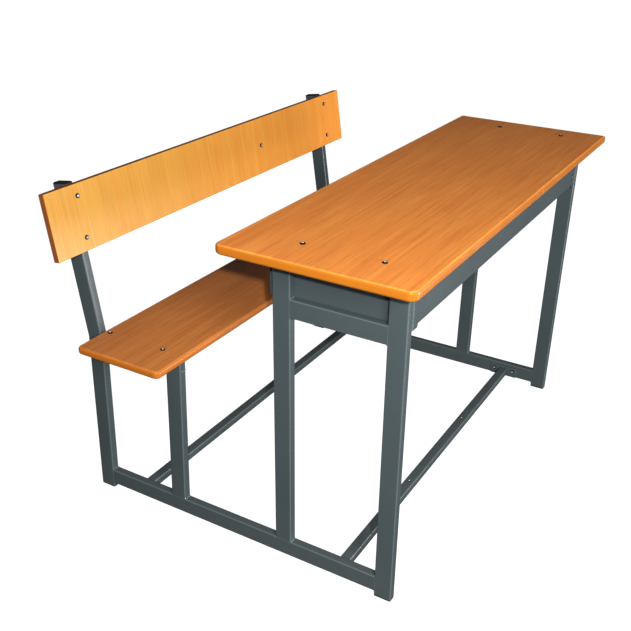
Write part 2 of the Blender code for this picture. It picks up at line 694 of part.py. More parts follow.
def board_bolts(parent):
    """The bolts through the three boards."""
    desk_bolt = bolt_mesh("desktop_bolt", DESK_THICKNESS + SUPPORT_SIZE + SEAT_GAP)
    seat_bolt = bolt_mesh("seat_bolt", SEAT_THICKNESS + SUPPORT_SIZE + SEAT_GAP)
    back_bolt = bolt_mesh("backboard_bolt", BACK_THICKNESS + TUBE_DEPTH + SEAT_GAP)
    middle_bolt = bolt_mesh("middle_bolt", BACK_THICKNESS)
    for side, sign in SIDES.items():
        x = ACROSS * (sign * FRAME_X)
        for place_name, y in zip(("front", "rear"), DESK_BOLT_YS):
            head = x + Vector((0, y, DESK_HEIGHT))
            place_bolt(f"desktop_bolt_{side}_{place_name}", desk_bolt, parent, head, -UP)
        for place_name, y in zip(("front", "rear"), SEAT_BOLT_YS):
            head = x + Vector((0, y, SEAT_HEIGHT))
            place_bolt(f"seat_bolt_{side}_{place_name}", seat_bolt, parent, head, -UP)
        for place_name, rise in zip(("low", "high"), BACK_BOLT_RISES):
            head = x + backboard_point(rise)
            place_bolt(f"backboard_bolt_{side}_{place_name}", back_bolt, parent, head, -BACK_NORMAL)
    head = ACROSS * MIDDLE_BOLT_X + backboard_point(MIDDLE_BOLT_RISE)
    place_bolt("backboard_bolt_middle", middle_bolt, parent, head, -BACK_NORMAL)


def plate_bolts(parent):
    """The bolts that hold the stretchers' plates, each in a nut inside the bottom rail."""
    mesh = bolt_mesh("plate_bolt", PLATE_THICKNESS + SEAT_GAP + TUBE_WALL)
    names = [f"{place_name}_{end}" for place_name in stretcher_middles() for end in ("near", "far")]
    for side, sign in SIDES.items():
        for name, (y, z) in zip(names, plate_bolt_places()):
            head = Vector((sign * (FRAME_INNER_X - SEAT_GAP - PLATE_THICKNESS), y, z))
            place_bolt(f"plate_bolt_{side}_{name}", mesh, parent, head, ACROSS * sign)


def build():
    clear_objects()
    parent = desk_parent()
    frame_meshes = {**upright_legs(), **leaning_legs(), **rails()}
    plug_meshes = plugs()
    for side, sign in SIDES.items():
        end_frame(side, sign, frame_meshes, plug_meshes, parent)
        book_end(side, sign, parent)
    stretchers(parent)
    book_tray(parent)
    desktop(parent)
    seat(parent)
    backboard(parent)
    board_bolts(parent)
    plate_bolts(parent)


build()
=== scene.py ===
"""The looks of a two-seat school desk with a bench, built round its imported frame.

Metres, +Z up. X runs along the desk, -Y is its front and +Y is the bench's side.
"""

import math

import bmesh
import bpy
from mathutils import Euler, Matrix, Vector


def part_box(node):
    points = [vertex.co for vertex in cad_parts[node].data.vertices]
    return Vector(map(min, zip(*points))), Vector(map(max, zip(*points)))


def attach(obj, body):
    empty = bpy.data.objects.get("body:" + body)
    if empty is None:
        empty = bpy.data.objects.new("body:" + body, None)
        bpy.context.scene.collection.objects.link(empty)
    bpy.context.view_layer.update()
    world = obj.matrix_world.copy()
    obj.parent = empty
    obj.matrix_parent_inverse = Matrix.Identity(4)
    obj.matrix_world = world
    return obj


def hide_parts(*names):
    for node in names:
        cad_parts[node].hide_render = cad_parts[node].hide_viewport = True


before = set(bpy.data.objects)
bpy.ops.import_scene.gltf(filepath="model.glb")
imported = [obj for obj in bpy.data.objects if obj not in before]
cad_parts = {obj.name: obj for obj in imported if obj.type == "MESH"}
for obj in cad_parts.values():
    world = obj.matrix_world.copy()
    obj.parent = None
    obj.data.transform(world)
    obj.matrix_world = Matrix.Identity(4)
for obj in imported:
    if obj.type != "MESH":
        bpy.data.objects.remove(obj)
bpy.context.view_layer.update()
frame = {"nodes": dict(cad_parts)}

bl_info = {
    "name": "School desk",
    "version": (1, 0, 0),
    "blender": (4, 5, 0),
    "location": "View3D > Sidebar > School desk",
    "description": "Boards, painted tube frame, book box, bolts and welds of a two-seat school desk",
    "category": "Object",
}

BODY = "root"
SIDES = ("left", "right")
TUBES = (
    "front_leg", "mid_leg", "seat_leg", "rear_post", "bottom_rail", "cross_rail", "desk_rail", "seat_rail",
)
PLUGS = ("front_foot", "rear_foot", "post_cap")

# Axes by number, and as directions
X, Y, Z = range(3)
ACROSS = Vector((1, 0, 0))
UP = Vector((0, 0, 1))
QUARTER_TURN = math.radians(90)

# A tube's corner radius, and the leans of the rear legs and of the backboard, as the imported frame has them
TUBE_CORNER = 0.0028
LEG_LEAN = math.radians(1.9)
BACK_LEAN = math.radians(8.2)
BACK_NORMAL = Vector((0, -math.cos(BACK_LEAN), math.sin(BACK_LEAN)))


# Node trees

# Sockets that share their name with others in their node, by number
MIX_FIRST, MIX_SECOND, MIX_RESULT = 6, 7, 2
RANDOM_LOW, RANDOM_HIGH, RANDOM_RESULT = 2, 3, 1


class Value:
    """A number in a material. Python's operators on it add Math nodes."""

    def __init__(self, finish, socket):
        self.finish = finish
        self.socket = socket

    def maths(self, operation, *values):
        node = self.finish.node("ShaderNodeMath", {"operation": operation}, dict(enumerate(values)))
        return Value(self.finish, node.outputs[0])

    def __add__(self, other):
        return self.maths("ADD", self, other)

    def __radd__(self, other):
        return self.maths("ADD", other, self)

    def __sub__(self, other):
        return self.maths("SUBTRACT", self, other)

    def __rsub__(self, other):
        return self.maths("SUBTRACT", other, self)

    def __mul__(self, other):
        return self.maths("MULTIPLY", self, other)

    def __rmul__(self, other):
        return self.maths("MULTIPLY", other, self)

    def __truediv__(self, other):
        return self.maths("DIVIDE", self, other)

    def __rtruediv__(self, other):
        return self.maths("DIVIDE", other, self)

    def __abs__(self):
        return self.maths("ABSOLUTE", self)

    def smooth(self, low, high):
        """From 0 below low to 1 above high, easing in and out."""
        settings = {"interpolation_type": "SMOOTHSTEP"}
        values = {"Value": self, "From Min": low, "From Max": high, "To Min": 0.0, "To Max": 1.0}
        node = self.finish.node("ShaderNodeMapRange", settings, values)
        return Value(self.finish, node.outputs["Result"])


class Graph:
    """A node tree under construction."""

    def __init__(self, tree):
        self.tree = tree

    def node(self, kind, settings, values):
        """Any node, from its type, its settings, and the values or links of its sockets."""
        node = self.tree.nodes.new(kind)
        for key, value in settings.items():
            setattr(node, key, value)
        for key, value in values.items():
            self.feed(node.inputs[key], value)
        return node

    def feed(self, socket, value):
        """Link a socket, or set its value."""
        source = value.socket if isinstance(value, Value) else value
        if isinstance(source, bpy.types.NodeSocket):
            self.tree.links.new(source, socket)
        else:
            socket.default_value = source


class Finish(Graph):
    """A material under construction, with its Principled shader."""

    def __init__(self, name):
        self.material = bpy.data.materials.new(name)
        self.material.use_nodes = True
        super().__init__(self.material.node_tree)
        self.shader = self.tree.nodes["Principled BSDF"]

    def place(self):
        """The point of the surface in Object coordinates, as a vector."""
        return self.node("ShaderNodeTexCoord", {}, {}).outputs["Object"]

    def facing(self):
        """The surface's direction, as a vector."""
        return self.node("ShaderNodeNewGeometry", {}, {}).outputs["Normal"]

    def numbers(self, vector):
        """The three numbers of a vector."""
        parts = self.node("ShaderNodeSeparateXYZ", {}, {"Vector": vector})
        return [Value(self, socket) for socket in parts.outputs]

    def vector(self, x, y, z):
        """A vector of three numbers."""
        return self.node("ShaderNodeCombineXYZ", {}, {"X": x, "Y": y, "Z": z}).outputs["Vector"]

    def noise(self, vector, scale, detail, roughness=0.5, distortion=0.0):
        values = {
            "Vector": vector,
            "Scale": scale,
            "Detail": detail,
            "Roughness": roughness,
            "Distortion": distortion,
        }
        return Value(self, self.node("ShaderNodeTexNoise", {}, values).outputs["Fac"])

    def mix(self, factor, first, second):
        """A colour between two colours."""
        node = self.node("ShaderNodeMix", {"data_type": "RGBA"}, {"Factor": factor})
        self.feed(node.inputs[MIX_FIRST], first)
        self.feed(node.inputs[MIX_SECOND], second)
        return node.outputs[MIX_RESULT]

    def shades(self, factor, colour, first, second):
        """A colour between two shades of itself."""
        return self.mix(factor, rgba(shade(colour, first)), rgba(shade(colour, second)))

    def bump(self, height, distance, strength):
        """The surface's direction, tilted by a relief that is so deep in metres."""
        node = self.node("ShaderNodeBump", {}, {"Height": height, "Distance": distance, "Strength": strength})
        return node.outputs["Normal"]

    def done(self, **sockets):
        """The material, its shader's sockets fed."""
        for name, value in sockets.items():
            self.feed(self.shader.inputs[name.replace("_", " ")], value)
        return self.material


def rgba(colour):
    return (*colour, 1.0)


def shade(colour, factor):
    """A colour made lighter or darker."""
    return tuple(min(1.0, channel * factor) for channel in colour)


# Finishes

# A noise is its scale, detail and roughness, a span is where a pattern starts to show and where it is full,
# a dullness is what it adds to the roughness, and a relief is its depth and its strength.

WHITE = (1.0, 1.0, 1.0)
NOISE_MIDDLE = 0.5

# Layers of wood grain: how far each is drawn out along the board, then its noise's detail and roughness
BROAD_GRAIN = (14.0, 3.0, 0.55)
STREAK_GRAIN = (34.0, 3.0, 0.60)
FIBRE_GRAIN = (30.0, 4.0, 0.70)
PORE_GRAIN = (14.0, 2.0, 0.60)
RED_GRAIN = (26.0, 2.0, 0.60)

TONE_SPAN = (0.34, 0.68)
PORE_SPAN = (0.60, 0.74)
RED_SPAN = (0.46, 0.66)
PORE_SHADE = 0.55
FIBRE_DULLNESS = 0.16
PORE_DULLNESS = 0.12
FIBRE_HEIGHT = 0.6
PORE_HEIGHT = 0.8
WOOD_RELIEF = (0.00012, 0.5)
WOOD_COAT = 0.25
WOOD_COAT_ROUGHNESS = 0.18

# The X places between which painted light lifts a board's colour towards its far end
PAINTED_LIGHT_SPAN = (-0.55, 0.60)

BANDING_NOISE = (26.0, 3.0)
BANDING_SHADES = (0.90, 1.06)


def wood_finish(name, wood, grain_axis, cross_axis, face_axis):
    """Wood-pattern laminate on the faces of a board, with a plainer banding round its edges."""
    finish = Finish(name)
    vector = finish.place()
    place = finish.numbers(vector)

    def grain(scale, stretch, detail, roughness, distortion=0.0):
        """Noise that is drawn out along the grain."""
        drawn_out = finish.vector(place[grain_axis] / stretch, place[cross_axis], 0.0)
        return finish.noise(drawn_out, scale, detail, roughness, distortion)

    broad = grain(wood.broad_scale, *BROAD_GRAIN, wood.waviness)
    streaks = grain(wood.streak_scale, *STREAK_GRAIN)
    fibres = grain(wood.fibre_scale, *FIBRE_GRAIN)
    pores = grain(wood.pore_scale, *PORE_GRAIN).smooth(*PORE_SPAN)
    red = grain(wood.red_scale, *RED_GRAIN).smooth(*RED_SPAN)
    tone = streaks * wood.streak_share + broad * wood.broad_share + fibres * wood.fibre_share
    face = finish.mix(tone.smooth(*TONE_SPAN), rgba(wood.dark), rgba(wood.light))
    face = finish.mix(red * wood.red_share, face, rgba(wood.red))
    face = finish.mix(pores * wood.pore_depth, face, rgba(shade(wood.dark, PORE_SHADE)))
    # Painted light: the colour is lifted towards the far end, evening out the light that falls off along the
    # board
    gain = finish.mix(place[X].smooth(*PAINTED_LIGHT_SPAN), rgba(WHITE), rgba(wood.painted_light_gain))
    painted_light_face = finish.node("ShaderNodeVectorMath", {"operation": "MULTIPLY"}, {0: face, 1: gain})

    banding = finish.shades(finish.noise(vector, *BANDING_NOISE), wood.banding, *BANDING_SHADES)
    flatness = abs(finish.numbers(finish.facing())[face_axis])
    on_edge = 1.0 - flatness.smooth(wood.band_from, wood.band_to)
    rough = wood.roughness + (fibres - NOISE_MIDDLE) * FIBRE_DULLNESS + pores * PORE_DULLNESS
    return finish.done(
        Base_Color=finish.mix(on_edge, painted_light_face.outputs["Vector"], banding),
        Roughness=rough,
        Normal=finish.bump(fibres * FIBRE_HEIGHT - pores * PORE_HEIGHT, *WOOD_RELIEF),
        Coat_Weight=WOOD_COAT,
        Coat_Roughness=WOOD_COAT_ROUGHNESS,
    )


CLOUD_NOISE = (7.0, 3.0)
CLOUD_SHADES = (0.92, 1.09)
CLOUD_DULLNESS = 0.08
SPECK_NOISE = (900.0, 2.0)
SPECK_SPAN = (0.62, 0.72)
SPECK_SHADE = 1.7
SPECK_SHARE = 0.10
SCUFF_NOISE = (90.0, 4.0, 0.7)
SCUFF_SPAN = (0.66, 0.80)
SCUFF_DULLNESS = 0.10
UPRIGHT_STRETCH = 6.0
DUST_NOISE = (40.0, 3.0)
DUST_HEIGHTS = (0.02, 0.16)
DUST_COLOUR = (0.30, 0.27, 0.23)
DUST_SHARE = 0.04
DUST_DULLNESS = 0.10
# Painted highlight: where on the corners the paint is lightened, and how much, as if the rounded corners
# caught the light
CORNER_HIGHLIGHT_SPAN = (0.10, 0.42)
CORNER_HIGHLIGHT_SHADE = 2.8
PEEL_NOISE = (520.0, 1.0)
PEEL_HEIGHT = 0.8
SPECK_HEIGHT = 0.2
PAINT_RELIEF = (0.00008, 0.45)


def paint_finish(name, paint):
    """Powder coat: faint clouds and specks, fine waviness, dust low down, and a painted highlight on corners.
    """
    finish = Finish(name)
    vector = finish.place()
    x, y, z = finish.numbers(vector)
    cloud = finish.noise(vector, *CLOUD_NOISE)
    speck = finish.noise(vector, *SPECK_NOISE)
    peel = finish.noise(vector, *PEEL_NOISE)
    scuff = finish.noise(finish.vector(x, y, z / UPRIGHT_STRETCH), *SCUFF_NOISE).smooth(*SCUFF_SPAN)
    dust = (1.0 - z.smooth(*DUST_HEIGHTS)) * finish.noise(vector, *DUST_NOISE)
    nx, ny, nz = finish.numbers(finish.facing())
    corner = (abs(nx * ny) + abs(ny * nz) + abs(nx * nz)).smooth(*CORNER_HIGHLIGHT_SPAN)

    colour = finish.shades(cloud, paint.colour, *CLOUD_SHADES)
    specks = speck.smooth(*SPECK_SPAN) * SPECK_SHARE
    colour = finish.mix(specks, colour, rgba(shade(paint.colour, SPECK_SHADE)))
    colour = finish.mix(dust * DUST_SHARE, colour, rgba(DUST_COLOUR))
    # Painted highlight on the corners
    colour = finish.mix(corner * paint.corner_highlight, colour, rgba(shade(paint.colour, CORNER_HIGHLIGHT_SHADE)))
    rough = paint.roughness + (cloud - NOISE_MIDDLE) * CLOUD_DULLNESS
    rough = rough + scuff * SCUFF_DULLNESS + dust * DUST_DULLNESS
    relief = finish.bump(peel * PEEL_HEIGHT + speck * SPECK_HEIGHT, *PAINT_RELIEF)
    return finish.done(Base_Color=colour, Roughness=rough, Normal=relief)


PLATING_NOISE = (300.0, 3.0)
PLATING_SHADES = (0.82, 1.0)
PLATING_METALLIC = 0.45
PLATING_DULLNESS = 0.15
TURNING_NOISE = (2600.0, 2.0)
TURNING_RELIEF = (0.00003, 0.4)
# Painted shade: the marked rim of a bolt's or screw's head is darkened nearly to black
SHADED_RIM_SPAN = (0.35, 0.65)
RIM_PAINTED_SHADE = 0.008


def steel_finish(name, metal):
    """Satin zinc plating on steel, faintly clouded and finely turned, with painted shade that darkens the
    marked rim nearly to black.
    """
    finish = Finish(name)
    vector = finish.place()
    cloud = finish.noise(vector, *PLATING_NOISE)
    rim = Value(finish, finish.node("ShaderNodeAttribute", {"attribute_name": "rim"}, {}).outputs["Fac"])
    colour = finish.shades(cloud, metal.steel, *PLATING_SHADES)
    # Painted shade on the head's rim
    colour = finish.mix(rim.smooth(*SHADED_RIM_SPAN), colour, rgba(shade(metal.steel, RIM_PAINTED_SHADE)))
    rough = metal.steel_roughness + cloud * PLATING_DULLNESS
    relief = finish.bump(finish.noise(vector, *TURNING_NOISE), *TURNING_RELIEF)
    return finish.done(Base_Color=colour, Metallic=PLATING_METALLIC, Roughness=rough, Normal=relief)


WEAR_NOISE = (120.0, 4.0)
WEAR_SPAN = (0.55, 0.75)
WEAR_SHADES = (1.0, 2.1)
WEAR_DULLNESS = 0.18
MOULD_NOISE = (1800.0, 2.0)
MOULD_RELIEF = (0.00006, 0.5)


def plastic_finish(name, moulding):
    """Moulded black plastic with a fine grain."""
    finish = Finish(name)
    vector = finish.place()
    wear = finish.noise(vector, *WEAR_NOISE).smooth(*WEAR_SPAN)
    colour = finish.shades(wear, moulding.plastic, *WEAR_SHADES)
    rough = moulding.plastic_roughness + wear * WEAR_DULLNESS
    relief = finish.bump(finish.noise(vector, *MOULD_NOISE), *MOULD_RELIEF)
    return finish.done(Base_Color=colour, Roughness=rough, Normal=relief)


def weld_finish(name, paint):
    """The frame's paint, thicker and glossier where it ran over a weld."""
    finish = frame_paint().copy()
    finish.name = name
    rough = finish.node_tree.nodes["Principled BSDF"].inputs["Roughness"]
    for link in list(rough.links):
        finish.node_tree.links.remove(link)
    rough.default_value = paint.weld_roughness
    return finish


def once(name, make, *values):
    """A material, made the first time that it is asked for."""
    return bpy.data.materials.get(name) or make(name, *values)


def settings():
    return bpy.context.scene.school_desk


def frame_paint():
    return once("frame_powder_coat", paint_finish, settings().frame)


def weld_paint():
    return once("weld_powder_coat", weld_finish, settings().frame)


def bright_steel():
    return once("zinc_plated_steel", steel_finish, settings().frame)


def black_plastic():
    return once("black_moulded_plastic", plastic_finish, settings().frame)


# Meshes

# Merging of a copied mesh, the angle past which an edge stays sharp, and how far large faces rule the normals
MERGE_DISTANCE = 0.00001
SHARP_ANGLE = math.radians(50)
LARGE_FACE_WEIGHT = 100

# Steps round a board's corners and its edges
BOARD_CORNER_STEPS = 18
BOARD_EDGE_STEPS = 7


def finished_piece(name, mesh, finish, slot, *nodes):
    """An object at the origin that rides on the desk and stands for its CAD nodes."""
    piece = bpy.data.objects.new(name, mesh)
    bpy.context.scene.collection.objects.link(piece)
    mesh.materials.clear()
    mesh.materials.append(finish)
    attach(piece, BODY)
    if nodes:
        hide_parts(*nodes)


def smooth_mesh(mesh):
    """Shade a mesh smooth, its sharp edges kept, its normals held flat on its large faces."""
    mesh.shade_smooth()
    mesh.set_sharp_from_angle(angle=SHARP_ANGLE)
    holder = bpy.data.objects.new("holder", mesh)
    bpy.context.scene.collection.objects.link(holder)
    weighted = holder.modifiers.new("normals", "WEIGHTED_NORMAL")
    weighted.keep_sharp = True
    weighted.weight = LARGE_FACE_WEIGHT
    return plain_mesh(holder)


def plain_mesh(holder):
    """The evaluated mesh of an object, which is then removed."""
    bpy.context.view_layer.update()
    evaluated = holder.evaluated_get(bpy.context.evaluated_depsgraph_get())
    result = bpy.data.meshes.new_from_object(evaluated)
    bpy.data.objects.remove(holder, do_unlink=True)
    return result


def refined_copy(node):
    """A CAD node's shape with its loose triangles joined and its bends shaded smooth."""
    mesh = frame["nodes"][node].data.copy()
    bm = bmesh.new()
    bm.from_mesh(mesh)
    bmesh.ops.remove_doubles(bm, verts=bm.verts, dist=MERGE_DISTANCE)
    bm.to_mesh(mesh)
    bm.free()
    return smooth_mesh(mesh)


def painted_copies(nodes):
    """Painted pieces in the shapes of their CAD nodes."""
    for node in nodes:
        finished_piece(node + "_painted", refined_copy(node), frame_paint(), "frame_paint", node)


def loft(name, rings):
    """A closed skin over rings of equally many points."""
    bm = bmesh.new()
    rows = [[bm.verts.new(point) for point in ring] for ring in rings]
    for low, high in zip(rows, rows[1:]):
        for i in range(len(low)):
            j = (i + 1) % len(low)
            bm.faces.new((low[i], low[j], high[j], high[i]))
    bm.faces.new(list(reversed(rows[0])))
    bm.faces.new(rows[-1])
    bmesh.ops.recalc_face_normals(bm, faces=bm.faces)
    mesh = bpy.data.meshes.new(name)
    bm.to_mesh(mesh)
    bm.free()
    return mesh


def rounded_rectangle(width, depth, near_radius, far_radius):
    """Points (u, v) round a rectangle centred on zero, with arcs at its near (-u) and far corners."""
    points = []
    for quarter in range(4):
        radius = far_radius if quarter in (0, 3) else near_radius
        centre_u = (1 if quarter in (0, 3) else -1) * (width / 2 - radius)
        centre_v = (1 if quarter in (0, 1) else -1) * (depth / 2 - radius)
        for step in range(BOARD_CORNER_STEPS + 1):
            angle = QUARTER_TURN * (quarter + step / BOARD_CORNER_STEPS)
            points.append((centre_u + radius * math.cos(angle), centre_v + radius * math.sin(angle)))
    return points


def board_mesh(name, centre, size, board, normal):
    """A board with rounded corners in plan and rounded edges."""
    length, depth, thickness = size
    forward = normal.cross(ACROSS)
    rings = []
    for side in (-1, 1):
        for step in range(BOARD_EDGE_STEPS + 1):
            share = step / BOARD_EDGE_STEPS if side > 0 else 1 - step / BOARD_EDGE_STEPS
            inset = board.edge * (1 - math.cos(QUARTER_TURN * share))
            height = side * (thickness / 2 - board.edge * (1 - math.sin(QUARTER_TURN * share)))
            radii = [corner * corner / (corner + inset) for corner in (board.corner, board.far_corner)]
            outline = rounded_rectangle(length - 2 * inset, depth - 2 * inset, *radii)
            rings.append([centre + ACROSS * u + forward * v + normal * height for u, v in outline])
    return smooth_mesh(loft(name, rings))


def level_board(node, board):
    """A level board that fills its CAD node's box."""
    low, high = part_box(node)
    return board_mesh(node + "_board", (low + high) / 2, high - low, board, UP)


def leaning_board(node, board):
    """The backboard, its width and thickness worked out from its CAD node's box and its lean."""
    low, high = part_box(node)
    length, depth, height = high - low
    sine, cosine = math.sin(BACK_LEAN), math.cos(BACK_LEAN)
    # The box is width * sine + thickness * cosine deep and width * cosine + thickness * sine high
    scale = cosine * cosine - sine * sine
    width = (height * cosine - depth * sine) / scale
    thickness = (depth * cosine - height * sine) / scale
    return board_mesh(node + "_board", (low + high) / 2, (length, width, thickness), board, BACK_NORMAL)


# Geometry Nodes

# A bead's ripples: the sides of each, and how far their sizes vary
RIPPLE_SEGMENTS = 10
RIPPLE_RINGS = 6
RIPPLE_SIZES = (0.85, 1.12)
SEAM_SIDES = 12


class Tree(Graph):
    """A Geometry Nodes tree under construction, with named inputs."""

    def __init__(self, name, inputs):
        super().__init__(bpy.data.node_groups.new(name, "GeometryNodeTree"))
        face = self.tree.interface
        face.new_socket(name="Geometry", in_out="INPUT", socket_type="NodeSocketGeometry")
        for label, kind in inputs.items():
            face.new_socket(name=label, in_out="INPUT", socket_type="NodeSocket" + kind)
        face.new_socket(name="Geometry", in_out="OUTPUT", socket_type="NodeSocketGeometry")
        self.inputs = self.node("NodeGroupInput", {}, {}).outputs
        self.output = self.node("NodeGroupOutput", {}, {})

    def add(self, kind, settings, values):
        """A geometry node's first output."""
        return self.node(kind, settings, values).outputs[0]

    def random(self, low, high):
        """A number drawn at random for each point."""
        values = {RANDOM_LOW: low, RANDOM_HIGH: high, "Seed": self.inputs["Seed"]}
        return self.node("FunctionNodeRandomValue", {"data_type": "FLOAT"}, values).outputs[RANDOM_RESULT]

    def close(self, geometry):
        """Turn instances into real geometry with its material, and send it out."""
        real = self.add("GeometryNodeRealizeInstances", {}, {"Geometry": geometry})
        values = {"Geometry": real, "Material": self.inputs["Finish"]}
        self.feed(self.output.inputs["Geometry"], self.add("GeometryNodeSetMaterial", {}, values))
        return self.tree


def bolt_tree():
    """Stands a bolt on each point, along the point's own axis and turned at random about it."""
    tree = Tree("bolts_on_points", {"Bolt": "Object", "Size": "Float", "Seed": "Int", "Finish": "Material"})
    source = tree.node("GeometryNodeObjectInfo", {}, {"Object": tree.inputs["Bolt"]}).outputs["Geometry"]
    axis = tree.add("GeometryNodeInputNamedAttribute", {"data_type": "FLOAT_VECTOR"}, {"Name": "axis"})
    upright = tree.add("FunctionNodeAlignRotationToVector", {"axis": "Z"}, {"Vector": axis})
    spin = tree.add("FunctionNodeAxisAngleToRotation", {}, {"Angle": tree.random(0.0, math.tau)})
    turned = tree.add("FunctionNodeRotateRotation", {"rotation_space": "LOCAL"}, {0: upright, 1: spin})
    values = {
        "Points": tree.inputs["Geometry"],
        "Instance": source,
        "Rotation": turned,
        "Scale": tree.inputs["Size"],
    }
    return tree.close(tree.add("GeometryNodeInstanceOnPoints", {}, values))


def weld_tree():
    """Lays overlapping ripples along each edge of a mesh, like a weld bead."""
    inputs = {"Radius": "Float", "Spacing": "Float", "Seed": "Int", "Finish": "Material"}
    tree = Tree("weld_beads_on_edges", inputs)
    curve = tree.add("GeometryNodeMeshToCurve", {}, {"Mesh": tree.inputs["Geometry"]})
    values = {"Curve": curve, "Length": tree.inputs["Spacing"]}
    dotted = tree.add("GeometryNodeResampleCurve", {"mode": "LENGTH"}, values)
    values = {"Segments": RIPPLE_SEGMENTS, "Rings": RIPPLE_RINGS, "Radius": tree.inputs["Radius"]}
    ripple = tree.add("GeometryNodeMeshUVSphere", {}, values)
    smooth = tree.add("GeometryNodeSetShadeSmooth", {}, {"Geometry": ripple})
    values = {"Points": dotted, "Instance": smooth, "Scale": tree.random(*RIPPLE_SIZES)}
    return tree.close(tree.add("GeometryNodeInstanceOnPoints", {}, values))


def seam_tree():
    """Fills the groove along each edge of a mesh with a round seam, dressed flush."""
    tree = Tree("seams_on_edges", {"Radius": "Float", "Finish": "Material"})
    curve = tree.add("GeometryNodeMeshToCurve", {}, {"Mesh": tree.inputs["Geometry"]})
    values = {"Resolution": SEAM_SIDES, "Radius": tree.inputs["Radius"]}
    profile = tree.add("GeometryNodeCurvePrimitiveCircle", {}, values)
    values = {"Curve": curve, "Profile Curve": profile, "Fill Caps": True}
    return tree.close(tree.add("GeometryNodeCurveToMesh", {}, values))


def run_tree(name, mesh, tree, values):
    """Run a tree on a mesh and return the plain result."""
    holder = bpy.data.objects.new(name, mesh)
    bpy.context.scene.collection.objects.link(holder)
    modifier = holder.modifiers.new(name, "NODES")
    modifier.node_group = tree
    for item in tree.interface.items_tree:
        if item.in_out == "INPUT" and item.name in values:
            modifier[item.identifier] = values[item.name]
    return plain_mesh(holder)


# Bolts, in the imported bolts' sizes

HEAD_RADIUS = 0.0055
HEAD_HEIGHT = 0.0026
HEAD_GAP = 0.0003
SHANK_RADIUS = 0.003
NUT_RADIUS = 0.0056
NUT_HEIGHT = 0.005
THREAD_END = 0.002

# The finer heads and nuts that are drawn here
SOCKET_RADIUS = 0.0025
SOCKET_DEPTH = 0.0019
NUT_CHAMFER = 0.0006
BOLT_SIDES = 36
HEAD_STEPS = 6
CROWN_SHARE = 0.62
SHOULDER_SHARE = 0.22
NUT_FACE_SHARE = 0.88

# The radius at which a head's slope with painted shade starts
SHADED_RIM_START = 0.0023

# Digits to which a CAD node's points are compared
POINT_DIGITS = 6


def bolt_groups():
    """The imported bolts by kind, each kind with its own length."""
    groups = {}
    for node in sorted(frame["nodes"]):
        kind = node.split("_bolt_")[0]
        if "_bolt_" in node:
            name = "middle_bolt" if node.endswith("middle") else f"{kind}_bolts"
            groups.setdefault(name, []).append(node)
    return groups


def bolt_axis(node):
    """The direction from a packed bolt's nut to its head."""
    if node.startswith("backboard"):
        return BACK_NORMAL
    if node.startswith("plate"):
        return ACROSS if "_left_" in node else -ACROSS
    return UP


def bolt_place(node, axis):
    """Where a packed bolt's head bears, and how far its thread's end lies from there."""
    vertices = frame["nodes"][node].data.vertices
    points = {tuple(round(number, POINT_DIGITS) for number in vertex.co) for vertex in vertices}
    points = [Vector(point) for point in points]
    middle = sum(points, Vector()) / len(points)
    reaches = [(point - middle).dot(axis) for point in points]
    bearing = middle + axis * (max(reaches) - HEAD_HEIGHT)
    return bearing, max(reaches) - HEAD_HEIGHT - min(reaches)


def ring(points, height):
    return [Vector((u, v, height)) for u, v in points]


def circle(radius):
    turn = math.tau / BOLT_SIDES
    return [(radius * math.cos(i * turn), radius * math.sin(i * turn)) for i in range(BOLT_SIDES)]


def hexagon(radius):
    """As many points as a circle has, drawn in to the sides of a hexagon."""
    sixth = math.tau / 6
    points = []
    for u, v in circle(radius):
        angle = math.atan2(v, u) % sixth - sixth / 2
        reach = math.cos(sixth / 2) / math.cos(angle)
        points.append((u * reach, v * reach))
    return points


def crown_rings(crown, radius, top, shoulder):
    """Rings from the rim of a head's flat crown, out and down to its shoulder."""
    rings = []
    for step in range(HEAD_STEPS + 1):
        angle = QUARTER_TURN * step / HEAD_STEPS
        reach = crown + (radius - crown) * math.sin(angle)
        rings.append(ring(circle(reach), shoulder + (top - shoulder) * math.cos(angle)))
    return rings


def bolt_mesh(name, reach):
    """A button-head bolt with a hexagon socket, whose head bears at zero and whose thread ends at -reach."""
    nut_end = THREAD_END - reach
    nut_top = nut_end + NUT_HEIGHT
    socket, nut = hexagon(SOCKET_RADIUS), hexagon(NUT_RADIUS)
    shank, face = circle(SHANK_RADIUS), circle(NUT_RADIUS * NUT_FACE_SHARE)
    rings = [ring(socket, HEAD_HEIGHT - SOCKET_DEPTH), ring(socket, HEAD_HEIGHT)]
    rings += crown_rings(HEAD_RADIUS * CROWN_SHARE, HEAD_RADIUS, HEAD_HEIGHT, HEAD_HEIGHT * SHOULDER_SHARE)
    rings += [ring(circle(HEAD_RADIUS), 0.0), ring(shank, 0.0), ring(shank, nut_top)]
    rings += [ring(face, nut_top), ring(nut, nut_top - NUT_CHAMFER)]
    rings += [ring(nut, nut_end + NUT_CHAMFER), ring(face, nut_end)]
    rings += [ring(shank, nut_end), ring(shank, NUT_CHAMFER - reach)]
    rings.append(ring(circle(SHANK_RADIUS - NUT_CHAMFER), -reach))
    mesh = loft(name, rings)
    mark_shaded_rim(mesh, SHADED_RIM_START)
    return smooth_mesh(mesh)


def mark_shaded_rim(mesh, start):
    """Mark the part of a head that gets painted shade: the slope outside its socket's mouth, down to its
    underside.
    """
    attribute = mesh.attributes.new("rim", "FLOAT", "POINT")
    for vertex, item in zip(mesh.vertices, attribute.data):
        out = math.hypot(vertex.co.x, vertex.co.y)
        item.value = float(vertex.co.z > -HEAD_GAP and out > start)


def make_bolts(name, nodes, tree, seed):
    """One kind of bolt, stood on its places."""
    axes = [bolt_axis(node) for node in nodes]
    places = [bolt_place(node, axis) for node, axis in zip(nodes, axes)]
    bearings = [bearing for bearing, reach in places]
    stand(name, bolt_mesh(name, places[0][1]), bearings, axes, tree, seed, *nodes)


